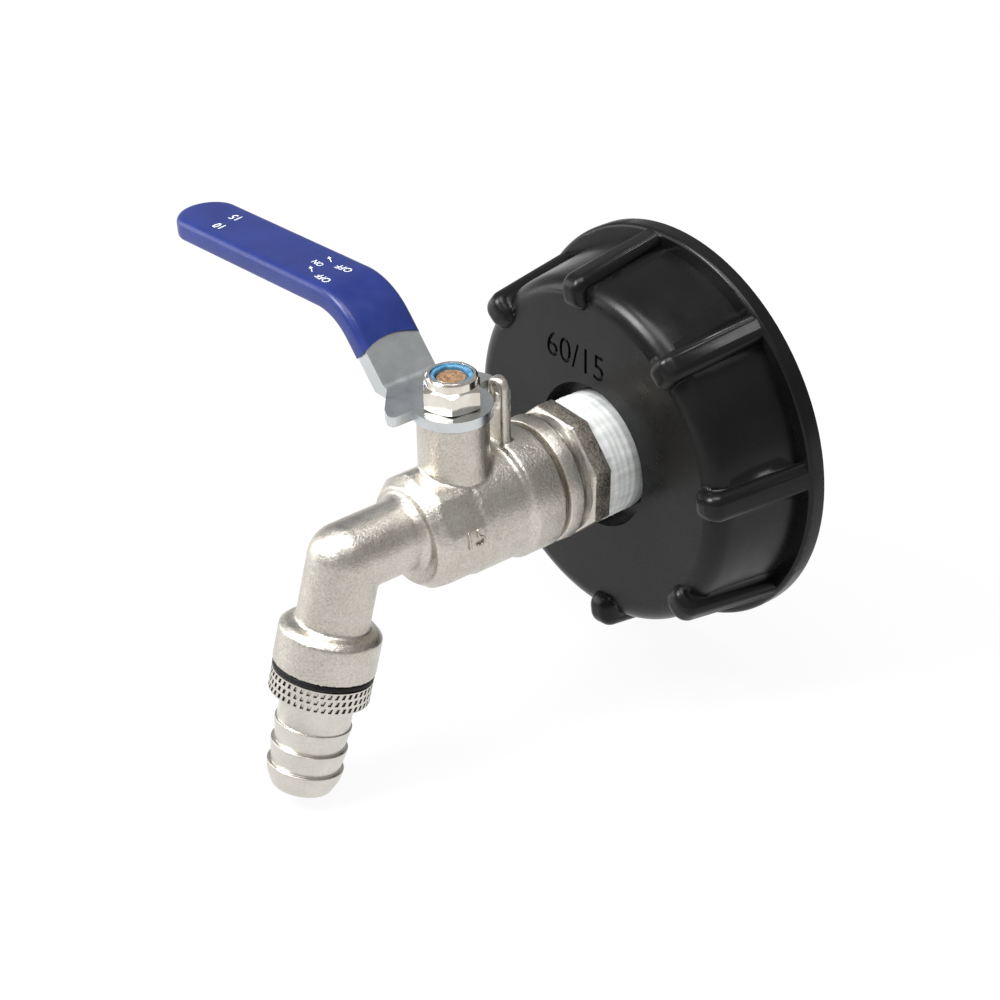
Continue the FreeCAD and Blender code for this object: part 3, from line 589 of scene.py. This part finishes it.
def hose_tail():
    """Turned hose tail with three barbs, and its knurled band."""
    profile = [(15.65, 4.4), (15.65, 7.9), (22.0, 7.9), (22.0, 8.9), (26.5, 8.9), (27.0, 8.4), (27.0, 6.8),
               (32.2, 6.8), (32.2, 7.15), (32.6, 7.15), (36.55, 6.45), (36.55, 7.15), (36.95, 7.15),
               (40.9, 6.45), (40.9, 7.15), (41.3, 7.15), (43.0, 6.8), (44.9, 5.95), (45.5, 5.6), (45.5, 4.4)]
    tail = turned_outlet("tail_turned", rounded(profile, 0.16), 144)
    dress(tail, TURNED, "valve", "tail_nickel", "hose_tail")

    around = 90
    length = 4.2 * MM
    radius = 9.32 * MM
    row_pitch = 1.4 * MM
    pit_height = 0.92 * MM
    bpy.ops.object.select_all(action="DESELECT")
    bpy.ops.mesh.primitive_cylinder_add(vertices=around, radius=radius, depth=length, end_fill_type="NOTHING")
    band = bpy.context.view_layer.objects.active
    band.name = "tail_knurl"
    for row in (-1, 0, 1):
        for side in (-1, 1):
            edit(band)
            bpy.ops.mesh.bisect(plane_co=(0, 0, row * row_pitch + side * pit_height / 2), plane_no=(0, 0, 1))
            leave_edit()

    def is_pit(centre, normal):
        column = round(math.atan2(centre.y, centre.x) / (2 * math.pi) * around)
        row = round(centre.z / row_pitch)
        return abs(centre.z - row * row_pitch) < pit_height / 4 and (column + row) % 2 == 0

    edit(band)
    pick_faces(band, is_pit)
    bpy.ops.mesh.inset(thickness=0.05 * MM, use_individual=True)
    bpy.ops.transform.shrink_fatten(value=-0.42 * MM)
    leave_edit()
    band.data.materials.append(TURNED)
    # Second finish: painted shade for the pits. The faces sunk below the band take this dark colour in place of the
    # shadow in them.
    band.data.materials.append(KNURL_PIT_PAINTED_SHADE)
    for face in band.data.polygons:
        face.material_index = 1 if face.center.xy.length < radius - 0.15 * MM else 0
    for vertex in band.data.vertices:
        lean = vertex.co.z / row_pitch * (2 * math.pi / around) * 0.6
        vertex.co = Matrix.Rotation(lean, 4, "Z") @ vertex.co
    edit(band)
    bpy.ops.mesh.select_mode(type="EDGE")
    bpy.ops.mesh.select_all(action="DESELECT")
    bpy.ops.mesh.select_non_manifold()
    bpy.ops.mesh.extrude_region_move()
    bpy.ops.transform.resize(value=(0.9, 0.9, 1.18))
    leave_edit()
    middle = ELBOW + OUTLET * (24.4 * MM)
    band.data.transform(Matrix.Translation(middle) @ OUTLET.to_track_quat("Z", "X").to_matrix().to_4x4())
    smooth(band, 20)
    dress(band, TURNED, "valve", "tail_nickel")


def lock_nut():
    nut = pressed_copy("lock_nut", "lock_nut_polished", 0.1 * MM)
    flat_faces_stay_flat(nut)
    dress(nut, POLISHED, "handle", "nut_nickel", "lock_nut")
    low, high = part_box("lock_nut_insert")
    ring = turned("nut_insert", rounded([(low.z / MM, 3.05), (high.z / MM, 3.05), (high.z / MM, 3.9),
                                         (low.z / MM, 3.9)], 0.35), Vector((0, STEM_Y, 0)), Vector((0, 0, 1)),
                  Vector((1, 0, 0)), 64)
    dress(ring, NYLON, "handle", "nut_nylon", "lock_nut_insert")


def tape_winding():
    """Sealing tape, wound a little unevenly on the pipe thread."""
    profile = [(-27.68, 10.35)]
    steps = 22
    for k in range(steps + 1):
        along = -27.62 + 9.15 * k / steps
        profile.append((along, 12.03 + 0.05 * math.sin(k * 1.9) + (0.05 if k % 5 == 0 else 0.0)))
    profile.append((-18.42, 10.35))
    tape = turned_y("tape_winding", profile, 160)
    waves = bpy.data.textures.new("tape_waves", "CLOUDS")
    waves.noise_scale = 2.4 * MM
    modify(tape, "DISPLACE", texture=waves, texture_coords="LOCAL", strength=0.16 * MM, mid_level=0.62)
    smooth(tape)
    dress(tape, TAPE, "valve", "thread_tape", "ptfe_tape")


# ---------------------------------------------------------------- lever and grip

def lever_line():
    """Corner points of the lever's top line, and the run's directions."""
    bend_z = DISC_TOP_Z + (FOLD_X - BEND_X) * math.tan(SLOPE)
    up = Vector((-math.cos(SLOPE), 0, math.sin(SLOPE)))
    down = Vector((-math.cos(DROOP), 0, -math.sin(DROOP)))
    return Vector((BEND_X, 0, bend_z)), up, down


def along_lever(distance, height):
    """Point of the top line, distance measured back from the upper bend's corner, raised square to it by height."""
    corner, up, down = lever_line()
    half_turn = (SLOPE + DROOP) / 2
    reach = BEND_R * math.tan(half_turn)
    arc = BEND_R * half_turn * 2
    start = corner - up * reach
    up_normal = Vector((up.z, 0, -up.x))
    if distance < 0:
        return start + up * distance + up_normal * height
    centre = start - up_normal * BEND_R
    if distance < arc:
        turn = distance / BEND_R
        normal = Matrix.Rotation(-turn, 3, "Y") @ up_normal
        return centre + normal * (BEND_R + height)
    normal = Vector((down.z, 0, -down.x))
    return corner + down * (reach + distance - arc) + normal * height


def bent(piece):
    """Bend a flat piece onto the lever: its X runs out along the handle, Y towards the near side, Z out of the top."""
    for vertex in piece.data.vertices:
        point = along_lever(vertex.co.x, vertex.co.z)
        vertex.co = Vector((point.x, STEM_Y - vertex.co.y, point.z))


def distance_at(x):
    """Distance along the straight outer run at which the top line is over x."""
    corner, up, down = lever_line()
    half_turn = (SLOPE + DROOP) / 2
    reach = BEND_R * math.tan(half_turn)
    arc = BEND_R * half_turn * 2
    if x < BEND_X:
        return arc - reach + (BEND_X - x) / math.cos(DROOP)
    return reach - (x - BEND_X) / math.cos(SLOPE)


def grip_sleeve():
    """Dipped vinyl sleeve: a shallow channel with a round end, bent to the handle's line."""
    start = distance_at(GRIP_START_X)
    end = distance_at(TIP_X)
    bpy.ops.object.select_all(action="DESELECT")
    centre_x = end - GRIP_HALF
    bpy.ops.mesh.primitive_cylinder_add(vertices=72, radius=GRIP_HALF, depth=GRIP_DEPTH,
                                        location=(centre_x, 0, GRIP_T - GRIP_DEPTH / 2))
    grip = bpy.context.view_layer.objects.active
    grip.name = "grip_sleeve"
    settle(grip)

    edit(grip)
    bpy.ops.mesh.bisect(plane_co=(centre_x, 0, 0), plane_no=(1, 0, 0), clear_inner=True, use_fill=True)
    pick_faces(grip, lambda centre, normal: normal.x < -0.9)
    bpy.ops.transform.translate(value=(start - centre_x, 0, 0))
    pick_faces(grip, lambda centre, normal: normal.z < -0.9)
    bpy.ops.mesh.inset(thickness=2.1 * MM)
    bpy.ops.mesh.extrude_region_move()
    bpy.ops.transform.translate(value=(0, 0, 1.45 * MM))
    leave_edit()
    edit(grip)
    top = GRIP_T
    pick_edges(grip, lambda a, b: min(a.z, b.z) > top - 0.01 * MM and max(a.x, b.x) > start + 0.1 * MM
               and not (abs(a.x - b.x) < 1e-6 and a.x < start + 0.1 * MM))
    bpy.ops.mesh.bevel(offset=1.4 * MM, offset_type="OFFSET", segments=7)
    leave_edit()
    edit(grip)
    low = GRIP_T - GRIP_DEPTH
    wall = 2.0 * MM

    def on_rim(point):
        past_centre = Vector((max(0.0, point.x - centre_x), point.y))
        return point.z < low + 0.01 * MM and past_centre.length > GRIP_HALF - wall / 2

    pick_edges(grip, lambda a, b: on_rim(a) and on_rim(b) and max(a.x, b.x) > start + 0.1 * MM)
    bpy.ops.mesh.bevel(offset=0.9 * MM, offset_type="OFFSET", segments=4)
    leave_edit()
    cuts = 64
    for k in range(cuts):
        edit(grip)
        place = start + (end - start) * (k + 0.5) / cuts
        bpy.ops.mesh.bisect(plane_co=(place, 0, 0), plane_no=(1, 0, 0))
        leave_edit()
    for place in (-4, -2, 0, 2, 4):
        edit(grip)
        bpy.ops.mesh.bisect(plane_co=(0, place * MM, 0), plane_no=(0, 1, 0))
        leave_edit()
    fade = 9 * MM
    for vertex in grip.data.vertices:
        share = max(0.0, 1 - (vertex.co.x - start) / fade)
        across = vertex.co.y / GRIP_HALF
        vertex.co.x += share * 1.6 * MM * (1 - across * across)
    bent(grip)
    smooth(grip, 40)
    dress(grip, VINYL, "handle", "grip_vinyl", "lever_grip")


def printed(name, words, size, x, y, turn=0.0):
    """Flat white print on the grip, centred over x and y to the near side, read from the far side."""
    text = lettering(name, words, size, 0.02 * MM)
    text.data.transform(Matrix.Translation((distance_at(x), y, GRIP_T + 0.015 * MM))
                        @ Matrix.Rotation(turn, 4, "Z"))
    bent(text)
    dress(text, PRINT, "handle", "grip_vinyl")


def print_arrow(name, x, y, turn):
    """A short printed arrow: a bar with a drawn-out head."""
    bpy.ops.object.select_all(action="DESELECT")
    bpy.ops.mesh.primitive_plane_add(size=1.0)
    arrow = bpy.context.view_layer.objects.active
    arrow.name = name
    arrow.scale = (1.8 * MM, 0.2 * MM, 1)
    settle(arrow)
    edit(arrow)
    pick_edges(arrow, lambda a, b: min(a.x, b.x) > 0.8 * MM)
    bpy.ops.mesh.extrude_region_move()
    bpy.ops.transform.resize(value=(1, 4.0, 1))
    bpy.ops.mesh.extrude_region_move()
    bpy.ops.transform.translate(value=(0.8 * MM, 0, 0))
    bpy.ops.transform.resize(value=(1, 0.05, 1))
    leave_edit()
    modify(arrow, "SOLIDIFY", thickness=0.03 * MM)
    arrow.data.transform(Matrix.Translation((distance_at(x), y, GRIP_T + 0.03 * MM))
                         @ Matrix.Rotation(turn, 4, "Z"))
    bent(arrow)
    dress(arrow, PRINT, "handle", "grip_vinyl")


def grip_print():
    printed("print_off_far", "OFF", 2.3 * MM, -33.9 * MM, -1.9 * MM, math.radians(4))
    printed("print_on", "ON", 1.9 * MM, -39.6 * MM, 0.0, math.radians(-4))
    printed("print_off_near", "OFF", 2.3 * MM, -33.1 * MM, 3.4 * MM, math.radians(-6))
    print_arrow("print_arrow_far", -39.0 * MM, -2.4 * MM, math.radians(-25))
    print_arrow("print_arrow_near", -37.9 * MM, 2.7 * MM, math.radians(-28))
    printed("print_number_near", "10", 2.9 * MM, -68.6 * MM, 2.5 * MM, math.radians(8))
    printed("print_number_far", "15", 2.9 * MM, -69.8 * MM, -2.1 * MM, math.radians(8))


def lever_plate():
    lever = pressed_copy("lever_plate", "lever_pressed", 0.35 * MM)
    flat_faces_stay_flat(lever)
    dress(lever, ZINC, "handle", "lever_zinc", "lever_plate")


def washer():
    ring = turned_outlet("outlet_seal", rounded([(21.02, 8.0), (21.98, 8.0), (21.98, 9.36), (21.02, 9.36)], 0.3), 96)
    dress(ring, SEAL, "valve", "seal_rubber", "outlet_washer")


def carried_over():
    """Finishes of the nodes that are shown as they are."""
    finishes = {
        "cap_gasket": GASKET,
        "connector_o_ring": SEAL,
        "rear_seat": RESIN,
        "front_seat": RESIN,
        "ball": CHROME,
        "stem": BRASS,
        "stem_thrust_washer": RESIN,
        "stem_o_ring_lower": SEAL,
        "stem_o_ring_upper": SEAL,
    }
    for node, finish in finishes.items():
        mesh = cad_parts[node].data
        mesh.materials.clear()
        mesh.materials.append(finish)


# ---------------------------------------------------------------- floor, light and camera

def floor():
    """A pale floor just under the hose tail, near white to the camera and in reflections."""
    bpy.ops.object.select_all(action="DESELECT")
    bpy.ops.mesh.primitive_plane_add(size=12.0, location=(0, 0, cad_box[0].z - 1 * MM))
    ground = bpy.context.view_layer.objects.active
    ground.name = "floor"
    material = bpy.data.materials.new("floor_white")
    material.use_nodes = True
    nodes = material.node_tree.nodes
    links = material.node_tree.links
    shader = nodes["Principled BSDF"]
    shader.inputs["Base Color"].default_value = (0.9, 0.9, 0.9, 1)
    shader.inputs["Roughness"].default_value = 0.9
    shader.inputs["Specular IOR Level"].default_value = 0.0
    glow = nodes.new("ShaderNodeEmission")
    glow.inputs["Color"].default_value = (1, 1, 1, 1)
    path = nodes.new("ShaderNodeLightPath")
    seen = nodes.new("ShaderNodeMath")
    seen.operation = "MAXIMUM"
    links.new(path.outputs["Is Camera Ray"], seen.inputs[0])
    links.new(path.outputs["Is Glossy Ray"], seen.inputs[1])
    share = nodes.new("ShaderNodeMath")
    share.operation = "MULTIPLY"
    share.inputs[1].default_value = 0.93
    links.new(seen.outputs[0], share.inputs[0])
    mix = nodes.new("ShaderNodeMixShader")
    links.new(share.outputs[0], mix.inputs["Fac"])
    links.new(shader.outputs[0], mix.inputs[1])
    links.new(glow.outputs[0], mix.inputs[2])
    links.new(mix.outputs[0], nodes["Material Output"].inputs["Surface"])
    ground.data.materials.append(material)


def area_light(name, place, aim, width, height, power):
    data = bpy.data.lights.new(name, "AREA")
    data.shape = "RECTANGLE"
    data.size = width
    data.size_y = height
    data.energy = power
    light = bpy.data.objects.new(name, data)
    light.location = place
    light.rotation_euler = (Vector(aim) - Vector(place)).to_track_quat("-Z", "Y").to_euler()
    bpy.context.scene.collection.objects.link(light)


def lights():
    middle = (0, -0.045, 0.0)
    area_light("key_softbox", (-0.25, -0.60, 0.70), middle, 0.35, 0.35, 11.0)
    area_light("top_softbox", (0.05, -0.10, 0.85), middle, 0.5, 0.4, 5.0)
    area_light("side_softbox", (-0.80, -0.55, 0.05), middle, 0.6, 0.8, 5.0)
    world = bpy.data.worlds.new("studio")
    world.use_nodes = True
    world.node_tree.nodes["Background"].inputs["Color"].default_value = (1, 1, 1, 1)
    background = world.node_tree.nodes["Background"]
    path = world.node_tree.nodes.new("ShaderNodeLightPath")
    level = world.node_tree.nodes.new("ShaderNodeMapRange")
    level.inputs["To Min"].default_value = 0.40
    level.inputs["To Max"].default_value = 1.0
    world.node_tree.links.new(path.outputs["Is Camera Ray"], level.inputs["Value"])
    world.node_tree.links.new(level.outputs["Result"], background.inputs["Strength"])
    bpy.context.scene.world = world


def camera():
    """Long lens at the viewing angle of a three-quarter product view, a little rolled."""
    turn = math.radians(51.41)
    rise = math.radians(31.69)
    roll = math.radians(-1.15)
    back = Vector((math.sin(turn) * math.cos(rise), -math.cos(turn) * math.cos(rise), math.sin(rise)))
    level = Vector((math.cos(turn), math.sin(turn), 0.0))
    upright = back.cross(level)
    right = level * math.cos(roll) + upright * math.sin(roll)
    up = upright * math.cos(roll) - level * math.sin(roll)
    data = bpy.data.cameras.new("camera")
    data.lens = 93.6
    data.sensor_width = 36
    data.clip_start = 0.01
    data.clip_end = 20
    view = bpy.data.objects.new("camera", data)
    bpy.context.scene.collection.objects.link(view)
    pose = Matrix((right, up, back)).transposed().to_4x4()
    pose.translation = back * 0.50351 - right * 0.03432 - up * 0.01617
    view.matrix_world = pose
    bpy.context.scene.camera = view


cap_shell()
valve_casting()
size_number()
connector()
hose_tail()
lock_nut()
tape_winding()
lever_plate()
grip_sleeve()
grip_print()
washer()
carried_over()
floor()
lights()
camera()
bpy.context.scene.view_settings.view_transform = "Standard"
